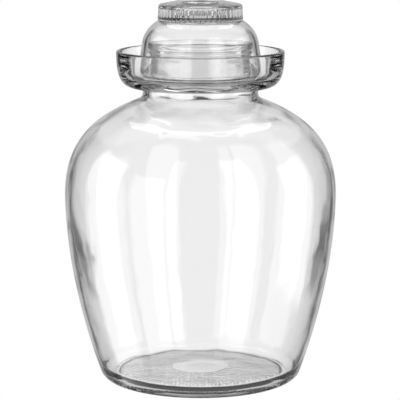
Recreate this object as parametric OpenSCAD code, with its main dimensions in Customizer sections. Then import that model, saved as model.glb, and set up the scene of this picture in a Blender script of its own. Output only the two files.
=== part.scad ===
// Water-seal fermentation jar: a blown glass vessel with a water trough fused
// round its neck, and a loose glass lid whose skirt stands in that trough.
// Gas lifts the lid and bubbles out through the water, and no air gets back in.
// Millimetres, +Z up, origin on the axis, in the plane that the jar stands on.

/* [Vessel] */
// Width of the vessel at its belly
belly_d = 200; // [180:1:230]
// Height of the belly's widest place above the table
belly_z = 139; // [115:1:170]
// Width of the circle that the heel stands on
foot_d = 131; // [110:1:145]
// Radius of the rounded heel
heel_r = 9.8; // [7:0.1:14]
// How full the wall is between heel and belly (2 is a parabola)
wall_fullness = 1.85; // [1.6:0.05:2.2]
// Height from the belly to the narrowest place of the neck
shoulder_h = 74.3; // [65:0.1:90]
// How far the shoulder curve climbs straight up from the belly
shoulder_rise = 39; // [28:1:46]
// How far the shoulder curve runs out from the neck
shoulder_run = 35; // [24:1:42]
// Lean of the shoulder where it meets the neck, from upright
shoulder_lean = 69; // [60:1:74]
// Radius of the hollow between shoulder and neck
neck_hollow_r = 5; // [3:0.5:8]
// Wall of the vessel
wall = 3.8; // [2.5:0.1:5]
// Rise of the pushed-up bottom at its middle
punt_h = 4.5; // [2.5:0.1:8]
// Glass of the bottom
base_t = 5; // [4:0.1:8]
// Width of the flat ring that the jar stands on
ring_w = 3; // [2:0.1:6]

/* [Neck and mouth] */
// Bore of the mouth
bore_d = 65; // [55:0.5:72]
// Wall of the mouth
mouth_t = 4.4; // [3.5:0.1:6]
// Height of the lip above the trough floor
mouth_h = 24.6; // [21:0.1:32]
// How far the lip bead stands out from the mouth wall
lip_proud = 1.3; // [0.6:0.1:2]
// Height of the lip bead
lip_h = 4.8; // [4:0.1:6.5]
// Height of the small bead under the lip
bead_h = 1.8; // [1:0.1:2.5]
// Gap between the small bead and the lip
bead_gap = 1; // [0.5:0.1:2]
// How much further out the neck stands under the trough than at the mouth
neck_step = 5.5; // [4:0.1:8]
// Wall of the neck under the trough
neck_t = 4.8; // [4:0.1:6]

/* [Water trough] */
// Width of the channel between the lid's skirt and the rim
channel_w = 12.4; // [9:0.1:18]
// Depth of the channel
channel_h = 18.5; // [14:0.1:23]
// Lean of the channel's outer wall, from upright
channel_lean = 19.7; // [14:0.1:22]
// Flat floor left outside the lid's skirt
floor_w = 3.3; // [2:0.1:4.5]
// Glass of the rim
rim_t = 3; // [2.2:0.1:4]
// How far the outer wall bows out from the underside to the rim
flare = 10.7; // [8:0.1:13]
// Glass under the channel floor
floor_t = 10.2; // [7:0.1:13]
// Height of the underside above the narrowest place of the neck
neck_show = 2.5; // [1.5:0.1:6]

/* [Lid] */
// Room between the lip and the inside of the lid
lid_gap = 1.2; // [0.6:0.1:3]
// Shell of the lid
lid_t = 3.1; // [2.2:0.1:4]
// Lean of the skirt, from upright
skirt_lean = 8.7; // [5:0.1:11]
// Height of the rounded crown above the skirt
crown_h = 16.1; // [13:0.1:22]
// Glass in the middle of the crown, under the grip
crown_t = 1.2; // [1:0.1:5]

/* [Grip] */
// Width of the grip over its ribs
grip_d = 62.4; // [50:0.1:68]
// Height of the ribs
rib_h = 8.8; // [6:0.1:14]
// Number of ribs
ribs = 50; // [30:1:56]
// How far the ribs stand out
rib_proud = 0.9; // [0.5:0.1:1.2]
// Height of the smooth band above the ribs
band_h = 2.4; // [2:0.1:4]
// Rise of the crest from the band to the hollow's edge
crest_h = 2; // [1:0.1:4]
// Width of the hollow in the top of the grip
cup_d = 34.2; // [22:0.1:40]
// Glass between the crown and the hollow's floor
cup_floor_t = 2; // [1.5:0.1:5]

/* [Hidden] */
$fn = 96;
glass = [0.88, 0.9, 0.9];

ring_round = 4;      // the bearing ring rounds up into the bottom over this width
ring_round_h = 1.2;  // and by this height
inner_corner = 4.5;  // reach of the round corner between inner wall and floor
corner_steps = 1;    // the corner starts this many steps of the wall above the heel
dish = 0.4;          // the inner floor is this much deeper at its edge
lip_round = 1.6;     // rounding of the lip's edges
ledge_round = 1.5;   // hollow between the trough floor and the mouth wall
bore_h = 14;         // straight part of the bore, under the lip
skirt_bevel = 0.6;   // bevel on the foot of the skirt
cup_taper = 0.8;     // the hollow is this much narrower at its floor
cup_round = 1.2;     // rounding of the hollow's edge
rib_strip = 0.5;     // plain strip between the crown and the ribs
rib_round = 1.3;     // radius of a rib
rib_lean = 3;        // lean of the ribbed side, from upright
band_round = 2;      // rounding of the smooth band's top edge
crest_lean = 80;     // lean of the crest's slope, from upright
bowl_out = 0.7;      // reach of the trough's underside before it turns up, as a share of the flare
bowl_up = 0.15;      // and its rise over that reach
channel_round = 5;   // height of the hollow between the channel's wall and its floor

belly_r = belly_d / 2;
foot_r = foot_d / 2;
bore_r = bore_d / 2;
mouth_r = bore_r + mouth_t;
lip_r = mouth_r + lip_proud;
neck_r = mouth_r + neck_step;
neck_z = belly_z + shoulder_h;
under_z = neck_z + neck_show;
floor_z = under_z + floor_t;
rim_z = floor_z + channel_h;
mouth_z = floor_z + mouth_h;

shell_w = lid_t / cos(skirt_lean);
crown_r = lip_r + lid_gap + shell_w;
crown_z = mouth_z;
skirt_r = crown_r + mouth_h * tan(skirt_lean);
grip_r = grip_d / 2;
grip_z = crown_z + crown_h;
rib_z = grip_z + rib_strip;
band_z = rib_z + rib_h;
band_r = grip_r - rib_h * tan(rib_lean);
crest_z = band_z + band_h + crest_h;
cup_r = cup_d / 2;
rim_r = skirt_r + channel_w + rim_t;

// Points along an arc, from angle a to angle b
function arc(c, r, a, b, n) =
    [for (i = [0 : n]) let (t = a + (b - a) * i / n) c + r * [cos(t), sin(t)]];

// Points along a cubic curve: two ends, p and s, and their handles
function curve(p, q, r, s, n) = [for (i = [0 : n]) let (t = i / n, u = 1 - t)
    u*u*u * p + 3*u*u*t * q + 3*u*t*t * r + t*t*t * s];

// Points of a shallow dome over the axis, from radius r and height a to height b at the middle
function dome(r, a, b, n) = [for (i = [0 : n]) let (t = 1 - i / n) [r * t, b + (a - b) * t * t]];

// The same line, set in by t on its left side
function inset(line, t) = [for (i = [0 : len(line) - 1])
    let (a = line[max(i - 1, 0)], b = line[min(i + 1, len(line) - 1)], d = (b - a) / norm(b - a))
    line[i] + t * [-d.y, d.x]];

function backwards(line) = [for (i = [len(line) - 1 : -1 : 0]) line[i]];
function after_first(line) = [for (i = [1 : len(line) - 1]) line[i]];

// Direction that leans in towards the axis from upright
function leaning(angle) = [-sin(angle), cos(angle)];

// Wall and shoulder of the vessel, from the heel up to the neck
heel_lean = atan(wall_fullness * (belly_r - foot_r - heel_r) / (belly_z - heel_r));
heel_top = [foot_r + heel_r * cos(heel_lean), heel_r * (1 - sin(heel_lean))];
shoulder_top = [neck_r + neck_hollow_r * (1 - cos(shoulder_lean)),
    neck_z - neck_hollow_r * sin(shoulder_lean)];
wall_steps = 18;
wall_line = [for (i = [0 : wall_steps]) let (t = 1 - i / wall_steps)
    [belly_r - (belly_r - heel_top.x) * pow(t, wall_fullness), belly_z - (belly_z - heel_top.y) * t]];
shoulder_line = curve([belly_r, belly_z], [belly_r, belly_z + shoulder_rise],
    shoulder_top - shoulder_run * leaning(shoulder_lean), shoulder_top, 24);
side_line = concat(wall_line, after_first(shoulder_line));

// Blown vessel: bottom, wall, shoulder, neck and mouth in one
module jar_body() {
    inner_side = inset(side_line, wall);
    inner_low = inner_side[corner_steps];
    inner_top = inner_side[len(inner_side) - 1];
    inner_neck = [neck_r - neck_t, neck_z];
    inner_z = base_t + dish;
    lip_z = mouth_z - lip_h;
    bead_z = lip_z - bead_gap - bead_h / 2;
    color(glass) rotate_extrude() polygon(concat(
        // pushed-up bottom, bearing ring and heel
        backwards(dome(foot_r - ring_w - ring_round, ring_round_h, punt_h, 8)),
        [[foot_r - ring_w, 0]],
        arc([foot_r, heel_r], heel_r, -90, -heel_lean, 10),
        // wall, shoulder and the hollow under the trough
        after_first(side_line),
        after_first(arc([neck_r + neck_hollow_r, neck_z], neck_hollow_r, 180 + shoulder_lean, 180, 6)),
        // ledge inside the trough, and the mouth wall with its small bead
        [[neck_r, floor_z]],
        arc([mouth_r + ledge_round, floor_z + ledge_round], ledge_round, -90, -180, 5),
        arc([mouth_r, bead_z], bead_h / 2, -90, 90, 8),
        // lip
        [[mouth_r, lip_z]],
        arc([lip_r - lip_round, lip_z + lip_round], lip_round, -90, 0, 5),
        arc([lip_r - lip_round, mouth_z - lip_round], lip_round, 0, 90, 5),
        arc([bore_r + lip_round, mouth_z - lip_round], lip_round, 90, 180, 5),
        // bore, inner neck, inner wall and floor
        curve([bore_r, mouth_z - bore_h], [bore_r, floor_z], [inner_neck.x, floor_z], inner_neck, 8),
        after_first(curve(inner_neck, inner_neck - [0, neck_t],
            inner_top + neck_t * leaning(shoulder_lean), inner_top, 5)),
        [for (i = [len(inner_side) - 2 : -1 : corner_steps]) inner_side[i]],
        after_first(curve(inner_low, inner_low - inner_corner * [sin(heel_lean), cos(heel_lean)],
            [foot_r + inner_corner / 2, inner_z], [foot_r - inner_corner, inner_z], 8)),
        after_first(dome(foot_r - inner_corner, inner_z, base_t + punt_h, 8))
    ));
}

// Water trough: a pressed ring, fused to the neck
module moat_collar() {
    rim = [rim_r - rim_t / 2, rim_z - rim_t / 2];
    foot = [rim_r - flare, under_z];
    inner = [rim.x - rim_t / 2, rim.y];
    down = [-tan(channel_lean), -1];
    inner_low = inner + (inner.y - floor_z - channel_round) * down;
    floor_edge = [skirt_r + floor_w, floor_z];
    color(glass) rotate_extrude() polygon(concat(
        [[neck_r, floor_z], [neck_r, under_z]],
        curve(foot, foot + flare * [bowl_out, bowl_up], [rim_r, under_z + floor_t], [rim_r, rim.y], 14),
        arc(rim, rim_t / 2, 20, 160, 7),
        [inner],
        curve(inner_low, inner_low + channel_round * 0.6 * down,
            [(inner_low.x + floor_edge.x) / 2, floor_z], floor_edge, 8)
    ));
}

// Bell of the lid: skirt and crown in one shell, open below
module lid_bell() {
    foot = [skirt_r, floor_z];
    crown_foot = [crown_r, crown_z];
    crown_top = [grip_r, grip_z];
    crown = curve(crown_foot, crown_foot + crown_h * 0.5 * leaning(skirt_lean),
        crown_top - crown_h * 0.37 * leaning(60), crown_top, 12);
    shell = inset(concat([foot], crown), lid_t);
    under = [for (p = shell) if (p.y < grip_z - crown_t && p.y > floor_z + skirt_bevel) p];
    under_edge = under[len(under) - 1];
    color(glass) rotate_extrude() polygon(concat(
        [[skirt_r - shell_w + skirt_bevel, floor_z], foot - [skirt_bevel, 0],
            foot + skirt_bevel * leaning(skirt_lean)],
        crown,
        [[0, grip_z]],
        backwards(dome(under_edge.x, under_edge.y, grip_z - crown_t, 6)),
        after_first(backwards(under)),
        [[skirt_r - shell_w, floor_z + skirt_bevel]]
    ));
}

// Grip of the lid: a thick ring with upright ribs, and an open hollow in its top
module lid_knob() {
    core_r = grip_r - rib_proud;
    core_top_r = core_r - rib_h * tan(rib_lean);
    edge_z = band_z + band_h;
    cup_z = grip_z + cup_floor_t;
    color(glass) union() {
        rotate_extrude() polygon(concat(
            [[0, grip_z], [core_r, grip_z], [core_top_r, band_z], [band_r, band_z]],
            arc([band_r - band_round, edge_z - band_round], band_round, 0, crest_lean, 5),
            arc([cup_r + cup_round, crest_z - cup_round], cup_round, crest_lean, 180, 5),
            [[cup_r - cup_taper, cup_z], [0, cup_z]]
        ));
        for (i = [0 : ribs - 1]) rotate([0, 0, i * 360 / ribs])
            translate([grip_r - rib_round, 0, rib_z]) rotate([0, -rib_lean, 0])
                cylinder(r = rib_round, h = rib_h, $fn = 24);
    }
}

jar_body();
moat_collar();
lid_bell();
lid_knob();
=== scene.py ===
import math

import bmesh
import bpy
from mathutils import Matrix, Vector, noise


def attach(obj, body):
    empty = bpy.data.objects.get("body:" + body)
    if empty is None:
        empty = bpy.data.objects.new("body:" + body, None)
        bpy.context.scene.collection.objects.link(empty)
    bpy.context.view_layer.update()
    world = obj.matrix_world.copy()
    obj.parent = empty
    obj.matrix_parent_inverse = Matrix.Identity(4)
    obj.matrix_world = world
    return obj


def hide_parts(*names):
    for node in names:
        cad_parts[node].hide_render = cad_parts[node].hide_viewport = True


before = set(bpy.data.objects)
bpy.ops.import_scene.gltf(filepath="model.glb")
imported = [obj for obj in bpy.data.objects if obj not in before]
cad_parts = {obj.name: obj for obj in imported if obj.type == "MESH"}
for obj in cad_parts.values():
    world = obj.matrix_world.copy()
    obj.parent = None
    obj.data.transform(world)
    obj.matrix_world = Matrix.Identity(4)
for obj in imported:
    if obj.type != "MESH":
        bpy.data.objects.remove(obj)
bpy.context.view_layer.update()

# Camera
# The photograph is a product shot from about a metre and a half away, a little above the rim of
# the trough and looking down, so that the far edge of the rim shows over the near one.
MM = 0.001
EYE_BACK = 1461.5
EYE_UP = 375.8
EYE_ASIDE = -0.3
LOOK_DOWN = math.radians(9.42)
camera_data = bpy.data.cameras.new("camera")
camera_data.lens = 180
camera_data.sensor_width = 36
camera = bpy.data.objects.new("camera", camera_data)
camera.location = Vector((EYE_ASIDE, -EYE_BACK, EYE_UP)) * MM
camera.rotation_euler = (math.pi / 2 - LOOK_DOWN, 0, 0)
bpy.context.collection.objects.link(camera)
bpy.context.scene.camera = camera


# Jar
# The real jar is blown in a mould, from its pushed-up bottom to its mouth, and its trough is a
# pressed ring that is fused round the neck while hot. So it is one closed body of clear glass:
# an outline is drawn in millimetres, up the outside and down the inside, and turned.
BELLY_R, BELLY_Z = 100.0, 139.0
FOOT_R, HEEL_R = 65.5, 9.8
WALL_FULLNESS, WALL_T = 1.85, 3.8
SHOULDER_H, SHOULDER_RISE, SHOULDER_RUN, SHOULDER_LEAN = 74.3, 39.0, 35.0, 69.0
HOLLOW_R = 5.0
RING_W, PUNT_INSET, PUNT_FOOT, PUNT_H = 3.0, 4.0, 1.2, 4.5
BASE_T, FLOOR_EDGE, CORNER, CORNER_START = 5.0, 0.4, 4.5, 2
BORE_R, BORE_H, MOUTH_T, MOUTH_H = 32.5, 14.0, 4.4, 24.6
LIP_PROUD, LIP_H, LIP_ROUND = 1.3, 4.8, 1.6
BEAD_H, BEAD_GAP = 1.8, 1.0
NECK_STEP, NECK_T, NECK_SHOW, NECK_FILLET = 5.5, 4.8, 4.6, 1.0
CHANNEL_W, CHANNEL_H, FLOOR_W, FLOOR_T = 12.4, 18.5, 3.3, 8.1
CHANNEL_LEAN, CHANNEL_ROUND, ROUND_PULL, FLOOR_FILLET = 19.7, 5.0, 0.6, 1.5
RIM_T, FLARE, BOWL_OUT, BOWL_UP = 3.0, 10.7, 0.7, 0.15
LID_GAP, LID_T, SKIRT_LEAN = 1.2, 3.1, 8.7
SECTORS, SECTOR_STEPS, WALL_STEPS = 16, 12, 40

# The inside is uneven, as blown glass is. WAVES has pairs of a height and how far the skin swells
# there. CLIMB says how far up in the noise a height lies: the waves are long in the wall and
# short in the neck. Ripples about half as wide are added to them.
WAVES = (
    (0, 0.2),
    (30, 0.2),
    (60, 0.14),
    (180, 0.14),
    (198, 0.6),
    (218, 0.6),
    (238, 0.35),
    (249, 0.25),
)
CLIMB = ((0, 0.0), (185, 5.5), (250, 15.0))
WAVE_SPAN, RIPPLE_SPAN, RIPPLE_CLIMB, RIPPLE_SHARE = 24, 13, 2, 0.3

MOUTH_R = BORE_R + MOUTH_T
LIP_R = MOUTH_R + LIP_PROUD
NECK_R = MOUTH_R + NECK_STEP
NECK_Z = BELLY_Z + SHOULDER_H
UNDER_Z = NECK_Z + NECK_SHOW
FLOOR_Z = UNDER_Z + FLOOR_T
RIM_Z = FLOOR_Z + CHANNEL_H
MOUTH_Z = FLOOR_Z + MOUTH_H
SHELL_W = LID_T / math.cos(math.radians(SKIRT_LEAN))
CROWN_R = LIP_R + LID_GAP + SHELL_W
SKIRT_R = CROWN_R + MOUTH_H * math.tan(math.radians(SKIRT_LEAN))
RIM_R = SKIRT_R + CHANNEL_W + RIM_T
RING_R = FOOT_R - RING_W
PUNT_R = RING_R - PUNT_INSET
INNER_Z = BASE_T + FLOOR_EDGE


def at(r, z):
    """A point of an outline: its distance from the axis and its height."""
    return Vector((r, z))


def turned(angle):
    """The direction at an angle in degrees, from outwards to up."""
    return at(math.cos(math.radians(angle)), math.sin(math.radians(angle)))


def leaning(angle):
    """The direction up, tipped towards the axis by an angle in degrees."""
    return at(-math.sin(math.radians(angle)), math.cos(math.radians(angle)))


def arc(middle, radius, start, end, steps):
    return [middle + radius * turned(start + (end - start) * i / steps) for i in range(steps + 1)]


def curve(p, q, r, s, steps):
    """A smooth curve from p to s that sets off towards q and arrives from r."""
    line = []
    for i in range(steps + 1):
        t, u = i / steps, 1 - i / steps
        line.append(u * u * u * p + 3 * u * u * t * q + 3 * u * t * t * r + t * t * t * s)
    return line


def dome(radius, low, top, steps):
    """A shallow dome, from its top on the axis down to its edge."""
    line = [i / steps for i in range(steps + 1)]
    return [at(radius * t, top + (low - top) * t * t) for t in line]


def inset(line, depth):
    """A line moved to its left by a depth, which for these outlines is inwards."""
    moved = []
    for i, point in enumerate(line):
        along = (line[min(i + 1, len(line) - 1)] - line[max(i - 1, 0)]).normalized()
        moved.append(point + depth * at(-along.y, along.x))
    return moved


def between(table, place):
    """The value at a place, on straight lines between the (place, value) pairs of a table."""
    for (low, first), (high, last) in zip(table, table[1:]):
        if place <= high:
            return first + (last - first) * max(place - low, 0) / (high - low)
    return table[-1][1]


def turn_outline(name, outline, sectors, steps, waves=()):
    """A closed body of glass, turned about the axis from an outline that starts and ends on it.

    Waves are the unevenness of its surface in millimetres, one number for each of the last points.
    """
    up = (0, 0, 1)
    bm = bmesh.new()
    uneven = bm.verts.layers.float.new("uneven")
    points = [bm.verts.new((p.x * MM, 0, p.y * MM)) for p in outline]
    for point, depth in zip(points[len(points) - len(waves) :], waves):
        point[uneven] = depth
    lines = [bm.edges.new(pair) for pair in zip(points, points[1:])]
    sector = 2 * math.pi / sectors
    bmesh.ops.spin(bm, geom=points + lines, axis=up, angle=sector, steps=steps)
    whole = bm.verts[:] + bm.edges[:] + bm.faces[:]
    rest = 2 * math.pi - sector
    bmesh.ops.spin(bm, geom=whole, axis=up, angle=rest, steps=sectors - 1, use_duplicate=True)
    bmesh.ops.remove_doubles(bm, verts=bm.verts, dist=1e-6)
    bmesh.ops.recalc_face_normals(bm, faces=bm.faces)
    bm.normal_update()
    for vert in bm.verts:
        if vert[uneven]:
            x, y, z = vert.co / MM
            swell = noise.noise(Vector((x / WAVE_SPAN, y / WAVE_SPAN, between(CLIMB, z))))
            ripple = noise.noise(Vector((x, y, z * RIPPLE_CLIMB)) / RIPPLE_SPAN)
            swell += ripple * RIPPLE_SHARE
            vert.co += vert.normal * (swell * vert[uneven] * MM)
    bm.verts.layers.float.remove(uneven)
    for face in bm.faces:
        face.smooth = True
    mesh = bpy.data.meshes.new(name)
    body = bpy.data.objects.new(name, mesh)
    bpy.context.collection.objects.link(body)
    return bm, mesh, body


heel_slope = WALL_FULLNESS * (BELLY_R - FOOT_R - HEEL_R) / (BELLY_Z - HEEL_R)
heel_lean = math.degrees(math.atan(heel_slope))
heel_top = at(FOOT_R, HEEL_R) + HEEL_R * turned(-heel_lean)
shoulder_top = at(NECK_R + HOLLOW_R, NECK_Z) + HOLLOW_R * turned(180 + SHOULDER_LEAN)
wall_line = []
for step in range(WALL_STEPS + 1):
    t = 1 - step / WALL_STEPS
    wall_r = BELLY_R - (BELLY_R - heel_top.x) * t**WALL_FULLNESS
    wall_line.append(at(wall_r, BELLY_Z - (BELLY_Z - heel_top.y) * t))
shoulder_line = curve(
    at(BELLY_R, BELLY_Z),
    at(BELLY_R, BELLY_Z + SHOULDER_RISE),
    shoulder_top - SHOULDER_RUN * leaning(SHOULDER_LEAN),
    shoulder_top,
    48,
)
side_line = wall_line + shoulder_line[1:]
inner_side = inset(side_line, WALL_T)
inner_top = inner_side[-1]
inner_neck = at(NECK_R - NECK_T, NECK_Z)
lip_z = MOUTH_Z - LIP_H
bead_z = lip_z - BEAD_GAP - BEAD_H / 2
rim_middle = at(RIM_R - RIM_T / 2, RIM_Z - RIM_T / 2)
under_foot = at(RIM_R - FLARE, UNDER_Z)
rim_inside = at(RIM_R - RIM_T, rim_middle.y)
channel_down = at(-math.tan(math.radians(CHANNEL_LEAN)), -1)
channel_low = rim_inside + (rim_inside.y - FLOOR_Z - CHANNEL_ROUND) * channel_down
inner_low = inner_side[CORNER_START]
jar_outside = (
    dome(PUNT_R, PUNT_FOOT, PUNT_H, 14)
    + curve(
        at(PUNT_R, PUNT_FOOT) + at(0.8, -0.15),
        at(RING_R - 2, PUNT_FOOT / 2),
        at(RING_R - 1, 0),
        at(RING_R, 0),
        5,
    )
    + arc(at(FOOT_R, HEEL_R), HEEL_R, -90, -heel_lean, 16)
    + side_line[1:]
    + arc(at(NECK_R + HOLLOW_R, NECK_Z), HOLLOW_R, 180 + SHOULDER_LEAN, 180, 8)[1:]
    + arc(at(NECK_R + NECK_FILLET, UNDER_Z - NECK_FILLET), NECK_FILLET, 180, 90, 4)
    + curve(
        under_foot,
        under_foot + FLARE * at(BOWL_OUT, BOWL_UP),
        at(RIM_R, FLOOR_Z),
        at(RIM_R, rim_middle.y),
        28,
    )
    + arc(rim_middle, RIM_T / 2, 10, 170, 12)
    + curve(
        channel_low,
        channel_low + CHANNEL_ROUND * ROUND_PULL * channel_down,
        at((channel_low.x + SKIRT_R + FLOOR_W) / 2, FLOOR_Z),
        at(SKIRT_R + FLOOR_W, FLOOR_Z),
        14,
    )
    + arc(at(MOUTH_R + FLOOR_FILLET, FLOOR_Z + FLOOR_FILLET), FLOOR_FILLET, -90, -180, 8)
    + arc(at(MOUTH_R, bead_z), BEAD_H / 2, -85, 85, 10)
    + [at(MOUTH_R, lip_z)]
    + arc(at(LIP_R - LIP_ROUND, lip_z + LIP_ROUND), LIP_ROUND, -80, 0, 8)
    + arc(at(LIP_R - LIP_ROUND, MOUTH_Z - LIP_ROUND), LIP_ROUND, 0, 90, 8)
    + arc(at(BORE_R + LIP_ROUND, MOUTH_Z - LIP_ROUND), LIP_ROUND, 90, 180, 8)
)
jar_inside = (
    curve(
        at(BORE_R, MOUTH_Z - BORE_H),
        at(BORE_R, FLOOR_Z),
        at(inner_neck.x, FLOOR_Z),
        inner_neck,
        18,
    )
    + curve(
        inner_neck,
        inner_neck - at(0, NECK_T),
        inner_top + NECK_T * leaning(SHOULDER_LEAN),
        inner_top,
        10,
    )[1:]
    + inner_side[-2 : CORNER_START - 1 : -1]
    + curve(
        inner_low,
        inner_low - CORNER * leaning(-heel_lean),
        at(FOOT_R + CORNER / 2, INNER_Z),
        at(FOOT_R - CORNER, INNER_Z),
        14,
    )[1:]
    + dome(FOOT_R - CORNER, INNER_Z, BASE_T + PUNT_H, 14)[-2::-1]
)
jar_outline = jar_outside + jar_inside
jar_waves = [between(WAVES, p.y) for p in jar_inside]
jar_bm, jar_mesh, jar = turn_outline("jar_glass", jar_outline, SECTORS, SECTOR_STEPS, jar_waves)
jar_bm.to_mesh(jar_mesh)
jar_bm.free()
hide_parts("jar_body", "moat_collar")
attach(jar, "jar")


class Value:
    """A shader socket that can be used in sums."""

    def __init__(self, tree, socket, made=None):
        self.tree = tree
        self.socket = socket
        self.made = made

    @classmethod
    def of(cls, tree, kind, settings=(), values=()):
        """Any node: its type, its settings, and the values or links of its sockets."""
        made = tree.nodes.new(kind)
        for key, value in dict(settings).items():
            setattr(made, key, value)
        for key, value in dict(values).items():
            if isinstance(value, Value):
                tree.links.new(value.socket, made.inputs[key])
            else:
                made.inputs[key].default_value = value
        return cls(tree, made.outputs[0], made)

    def out(self, name):
        return Value(self.tree, self.made.outputs[name])

    def outs(self):
        return [Value(self.tree, socket) for socket in self.made.outputs]

    def maths(self, operation, first, second=0.0):
        values = {0: first, 1: second}
        return Value.of(self.tree, "ShaderNodeMath", {"operation": operation}, values)

    def ramp(self, low, high):
        """0 at low and 1 at high, with soft ends."""
        soft = {"interpolation_type": "SMOOTHSTEP"}
        values = {"Value": self, "From Min": low, "From Max": high}
        return Value.of(self.tree, "ShaderNodeMapRange", soft, values)

    def power(self, share):
        return self.maths("POWER", self, share)

    def sine(self):
        return self.maths("SINE", self)

    def __add__(self, other):
        return self.maths("ADD", self, other)

    __radd__ = __add__

    def __sub__(self, other):
        return self.maths("SUBTRACT", self, other)

    def __rsub__(self, other):
        return self.maths("SUBTRACT", other, self)

    def __mul__(self, other):
        return self.maths("MULTIPLY", self, other)

    __rmul__ = __mul__


GLASS_IOR = 1.5
TINT = (0.5, 0.51, 0.51)
PIPS_PER_M, PIP_JITTER, PIP_EDGE = 380.0, 0.5, (0.45, 0.1)
PIP_RING_IN, PIP_RING_OUT, PIP_HEIGHT = (0.02, 0.023), (0.061, 0.058), (0.006, 0.005)
WEAR_PER_M, WEAR_EDGE, WORN_DEPTH = 45.0, (0.32, 0.66), 0.35


def stipple(tree, place):
    """Small round pips in a ring on the underside, as a mould leaves them, and worn in patches."""
    x, y, z = Value.of(tree, "ShaderNodeSeparateXYZ", (), {0: place}).outs()
    away = (x * x + y * y).power(0.5)
    cells = {"Vector": place, "Scale": PIPS_PER_M, "Randomness": PIP_JITTER}
    pips = Value.of(tree, "ShaderNodeTexVoronoi", {"voronoi_dimensions": "2D"}, cells)
    ring = away.ramp(*PIP_RING_IN) * away.ramp(*PIP_RING_OUT) * z.ramp(*PIP_HEIGHT)
    patches = {"Vector": place, "Scale": WEAR_PER_M, "Detail": 1.0}
    worn = Value.of(tree, "ShaderNodeTexNoise", (), patches)
    depth = WORN_DEPTH + (1 - WORN_DEPTH) * worn.ramp(*WEAR_EDGE)
    return pips.ramp(*PIP_EDGE) * ring * depth


def clear_glass(name, haze, ripple, relief, pips=0.0):
    """Clear glass: a faint tint that deepens along its thickness, and a softly rippled skin.

    Ripple is how wide the ripples are, and relief and pips are how high, all in metres.
    """
    material = bpy.data.materials.new(name)
    material.use_nodes = True
    tree = material.node_tree
    shader = tree.nodes["Principled BSDF"]
    shader.inputs["Base Color"].default_value = (1, 1, 1, 1)
    shader.inputs["Roughness"].default_value = 0.0
    shader.inputs["IOR"].default_value = GLASS_IOR
    shader.inputs["Transmission Weight"].default_value = 1.0
    body = tree.nodes.new("ShaderNodeVolumeAbsorption")
    body.inputs["Color"].default_value = (*TINT, 1)
    body.inputs["Density"].default_value = haze
    tree.links.new(body.outputs[0], tree.nodes["Material Output"].inputs["Volume"])
    place = Value.of(tree, "ShaderNodeTexCoord").out("Object")
    ripples = {"Vector": place, "Scale": 1 / ripple, "Detail": 1.0}
    swell = Value.of(tree, "ShaderNodeTexNoise", (), ripples) * relief
    if pips:
        swell = swell + stipple(tree, place) * pips
    bump = {"Strength": 1.0, "Distance": 1.0, "Height": swell}
    skin = Value.of(tree, "ShaderNodeBump", (), bump)
    tree.links.new(skin.socket, shader.inputs["Normal"])
    return material


blown = clear_glass("blown_glass", haze=3.0, ripple=0.022, relief=0.00025, pips=0.0006)
jar_mesh.materials.append(blown)

# Lid
# The lid is pressed glass: a bell whose skirt stands in the trough, and on its crown a thick
# ribbed grip with an open hollow in the top. The two are fused, so they are one closed body.
CROWN_H, CROWN_PULL, TOP_PULL, TOP_LEAN = 16.1, 0.5, 0.37, 60
GRIP_R, RIB_H, RIBS, RIB_PROUD, RIB_ROUND, RIB_LEAN = 31.2, 8.8, 50, 0.9, 1.3, 3.0
RIB_STRIP, RIB_START, RIB_ROWS, RIB_STEPS = 0.5, 0.1, 8, 12
BAND_H, BAND_FILLET, BAND_ROUND, CREST_H, CREST_LEAN = 2.4, 0.3, 2.0, 2.0, 80
CUP_R, CUP_FLOOR_T, CUP_TAPER, CUP_ROUND, CUP_FILLET, CUP_WALL = 17.1, 2.0, 0.8, 1.2, 1.0, 3.0
SKIRT_BEVEL = 0.6
NEAR = 0.01

CROWN_Z = MOUTH_Z
GRIP_Z = CROWN_Z + CROWN_H
RIB_Z = GRIP_Z + RIB_STRIP
RIB_FOOT_Z = GRIP_Z + RIB_START
BAND_Z = RIB_Z + RIB_H
CORE_R = GRIP_R - RIB_PROUD
lean_in = RIB_H * math.tan(math.radians(RIB_LEAN))
BAND_R = GRIP_R - lean_in
EDGE_Z = BAND_Z + BAND_H
CREST_Z = EDGE_Z + CREST_H
CUP_Z = GRIP_Z + CUP_FLOOR_T

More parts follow.
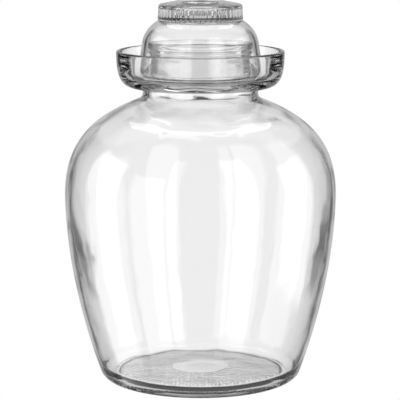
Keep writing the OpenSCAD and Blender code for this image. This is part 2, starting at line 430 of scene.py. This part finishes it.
skirt_foot = at(SKIRT_R, FLOOR_Z)
crown_foot = at(CROWN_R, CROWN_Z)
crown_top = at(CORE_R, GRIP_Z)
crown_line = curve(
    crown_foot,
    crown_foot + CROWN_H * CROWN_PULL * leaning(SKIRT_LEAN),
    crown_top - CROWN_H * TOP_PULL * leaning(TOP_LEAN),
    crown_top,
    24,
)
shell_line = inset([skirt_foot] + crown_line, LID_T)
shell_line = [p for p in shell_line if FLOOR_Z + SKIRT_BEVEL < p.y < GRIP_Z]
shell_top = shell_line[-1]
rib_line = [
    at(CORE_R - lean_in * i / RIB_ROWS, RIB_FOOT_Z + (BAND_Z - RIB_FOOT_Z) * i / RIB_ROWS)
    for i in range(RIB_ROWS + 1)
]
lid_outline = (
    [at(0, GRIP_Z)]
    + dome(shell_top.x, shell_top.y, GRIP_Z, 10)[1:]
    + shell_line[-2::-1]
    + arc(at(SKIRT_R - SHELL_W + SKIRT_BEVEL, FLOOR_Z + SKIRT_BEVEL), SKIRT_BEVEL, 180, 270, 4)
    + arc(skirt_foot + at(-SKIRT_BEVEL, SKIRT_BEVEL), SKIRT_BEVEL, -90, 0, 4)
    + crown_line
    + rib_line
    + arc(at(BAND_R - BAND_FILLET, BAND_Z + BAND_FILLET), BAND_FILLET, -90, 0, 3)
    + arc(at(BAND_R - BAND_ROUND, EDGE_Z - BAND_ROUND), BAND_ROUND, 0, CREST_LEAN, 8)
    + arc(at(CUP_R + CUP_ROUND, CREST_Z - CUP_ROUND), CUP_ROUND, CREST_LEAN, 180, 10)
    + arc(at(CUP_R - CUP_TAPER - CUP_FILLET, CUP_Z + CUP_FILLET), CUP_FILLET, 0, -90, 5)
    + [at(CUP_R / 2, CUP_Z), at(0, CUP_Z)]
)
lid_bm, lid_mesh, lid = turn_outline("lid_glass", lid_outline, RIBS, RIB_STEPS)
pitch = 2 * math.pi / RIBS
for vert in lid_bm.verts:
    height = vert.co.z / MM
    radius = vert.co.xy.length / MM
    in_rows = RIB_FOOT_Z - NEAR < height < BAND_Z + NEAR
    if in_rows and CUP_R + CUP_WALL < radius < CORE_R + NEAR:
        turn = math.atan2(vert.co.y, vert.co.x) % pitch
        aside = min(turn, pitch - turn) * CORE_R
        if aside < RIB_ROUND:
            proud = math.sqrt(RIB_ROUND**2 - aside**2) - (RIB_ROUND - RIB_PROUD)
            grown = (radius + max(proud, 0)) / radius
            vert.co.x *= grown
            vert.co.y *= grown
lid_bm.normal_update()
lid_bm.to_mesh(lid_mesh)
lid_bm.free()
pressed = clear_glass("pressed_glass", haze=8.0, ripple=0.012, relief=0.0001)
lid_mesh.materials.append(pressed)
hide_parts("lid_bell", "lid_knob")
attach(lid, "lid")

# Studio
# The photograph is lit from behind, as glass is: white paper under and behind the jar, a dark room
# at the sides that draws its edges, and tall soft boxes that run down it as white stripes.
EIGHTH = math.pi / 4

# Through the glass, the paper is lit in strips that cross under the jar, and darker between them:
# near, then deeper from DEEPENS on, then lighter from LIGHTENS on, all in metres from the middle.
PAPER_SIZE = 6.0
STAR_ASIDE = 0.003
NEAR_HALF, NEAR_SPREAD = 0.1, 0.1
FAR_HALF, FAR_SPREAD, CROSS_SPREAD = -0.01, 0.34, 0.26
STRIP_SOFT = 0.02
NEAR_DARK, DEEP_DARK, FAR_DARK = 0.35, 0.1, 0.8
DEEPENS, LIGHTENS = (0.4, 0.5), (0.55, 0.8)

# The room is seen straight through the glass as a dim wall with lit strips up to SKY_TOP, and in
# reflections as the backdrop, the soft boxes and a bowed tube overhead. Light that was reflected
# more often than FADES says is weaker by FADING.
SKY_DARK, SKY_TOP = 0.6, (0.42, 0.3)
EDGE_IN, EDGE_OUT = math.radians(9), math.radians(14)
ROOM_DARK = 0.08
BACK_LIGHT, BACK_SOFT, BACK_FOOT = 0.5, 0.1, (-0.6, -0.5)
BACKDROP, WIDER, WIDENS = math.radians(28), math.radians(40), (0.3, 0.7)
LOWEST = 0.05
TUBE_HALF, TUBE_SWELL, TUBE_SWELLS = 0.04, 0.15, (0.3, 0.4)
TUBE_OVER, TUBE_BOW, TUBE_SOFT = 0.13, 1.9, 0.01
TUBE_END, TUBE_HEIGHT, TUBE_LIGHT = (0.62, 0.6), (0.4, 0.5), 2.0
FADING, FADES = 0.5, (1.5, 3.5)
SIDE_SOFT, TOP_SOFT, BOTTOM_SOFT = math.radians(1.2), 0.03, 0.05

# Each soft box has its start and end in degrees to the right of the camera's side, its strength,
# and the heights of its bottom and top as parts of the sky's radius.
BOXES = (
    (-114, -75, 1.3, -0.68, 0.55),
    (-62, -32, 1.3, -0.68, 0.43),
    (-29, -18, 1.0, -0.68, 0.8),
    (22, 50, 1.3, -0.68, 0.8),
    (75, 111, 1.3, -0.44, 0.5),
)


def first_light(light_path):
    """1 on a ray that has met no mirror yet, and 0 after the first reflection."""
    return 1 - light_path.maths("MINIMUM", light_path.out("Glossy Depth"), 1.0)


bpy.ops.mesh.primitive_plane_add(size=PAPER_SIZE)
paper = bpy.context.object
paper.name = "paper"
paper_look = bpy.data.materials.new("paper")
paper_look.use_nodes = True
tree = paper_look.node_tree
path = Value.of(tree, "ShaderNodeLightPath")
place = Value.of(tree, "ShaderNodeTexCoord")
x, y, z = Value.of(tree, "ShaderNodeSeparateXYZ", (), {0: place.out("Object")}).outs()
x = x - STAR_ASIDE
away = (x * x + y * y).power(0.5)
off = y.maths("PINGPONG", y.maths("ARCTAN2", y, x), EIGHTH)
half = away.maths("MAXIMUM", NEAR_HALF + away * NEAR_SPREAD, FAR_HALF + away * FAR_SPREAD)
lit = (half - away * off.sine()).ramp(-STRIP_SOFT, STRIP_SOFT)
cross = away * CROSS_SPREAD - away * (EIGHTH - off).sine()
lit = lit + cross.ramp(-STRIP_SOFT, STRIP_SOFT)
lit = lit.maths("MINIMUM", lit, 1.0)
dark = NEAR_DARK - (NEAR_DARK - DEEP_DARK) * away.ramp(*DEEPENS)
dark = dark + (FAR_DARK - DEEP_DARK) * away.ramp(*LIGHTENS)
straight = dark + (1 - dark) * lit
first = first_light(path)
level = path.maths("MAXIMUM", path.out("Is Camera Ray"), straight)
glow = Value.of(tree, "ShaderNodeEmission", (), {"Strength": level})
clear = Value.of(tree, "ShaderNodeBsdfTransparent")
seen = Value.of(tree, "ShaderNodeMixShader", (), {0: 1 - first, 1: glow, 2: clear})
tree.links.new(seen.socket, tree.nodes["Material Output"].inputs["Surface"])
paper.data.materials.append(paper_look)

world = bpy.data.worlds.new("studio")
bpy.context.scene.world = world
world.use_nodes = True
tree = world.node_tree
place = Value.of(tree, "ShaderNodeTexCoord")
x, y, z = Value.of(tree, "ShaderNodeSeparateXYZ", (), {0: place.out("Generated")}).outs()
path = Value.of(tree, "ShaderNodeLightPath")
turn = x.maths("ARCTAN2", x, 0 - y)
gap = x.maths("PINGPONG", turn, EIGHTH)
open_sky = gap.ramp(EDGE_OUT, EDGE_IN) + (EIGHTH - gap).ramp(EDGE_OUT, EDGE_IN)
straight = SKY_DARK + (1 - SKY_DARK) * open_sky * z.ramp(*SKY_TOP)
boxes = 0.0
for start, end, strength, bottom, top in BOXES:
    low, high = math.radians(start), math.radians(end)
    left = turn.ramp(low - SIDE_SOFT, low + SIDE_SOFT)
    right = turn.ramp(high + SIDE_SOFT, high - SIDE_SOFT)
    box = left * right * strength * z.ramp(top + TOP_SOFT, top - TOP_SOFT)
    boxes = box * z.ramp(bottom - BOTTOM_SOFT, bottom + BOTTOM_SOFT) + boxes
up = z.maths("MAXIMUM", z, LOWEST)
across = x.maths("ABSOLUTE", x.maths("DIVIDE", x, up))
over = x.maths("DIVIDE", y, up)
bowed = over - TUBE_OVER - TUBE_BOW * across * across
tube = TUBE_HALF + TUBE_SWELL * across.ramp(*TUBE_SWELLS) - x.maths("ABSOLUTE", bowed)
overhead = tube.ramp(-TUBE_SOFT, TUBE_SOFT) * across.ramp(*TUBE_END)
overhead = overhead * z.ramp(*TUBE_HEIGHT) * TUBE_LIGHT
behind = BACKDROP + WIDER * z.ramp(*WIDENS) - x.maths("ABSOLUTE", x.maths("ARCTAN2", x, y))
behind = behind.ramp(-BACK_SOFT, BACK_SOFT) * z.ramp(*BACK_FOOT)
fading = path.out("Glossy Depth").ramp(*FADES) * FADING
reflected = (ROOM_DARK + boxes + overhead + behind * BACK_LIGHT) * (1 - fading)
first = first_light(path)
seen = reflected + first * (straight - reflected)
plain = path.maths("MAXIMUM", path.out("Is Camera Ray"), path.out("Is Diffuse Ray"))
level = plain + (1 - plain) * seen
backdrop = tree.nodes["Background"]
tree.links.new(level.socket, backdrop.inputs["Strength"])
backdrop.inputs["Color"].default_value = (1, 1, 1, 1)

scene = bpy.context.scene
scene.view_settings.view_transform = "Standard"
scene.cycles.max_bounces = 32
scene.cycles.transmission_bounces = 32
scene.cycles.glossy_bounces = 16
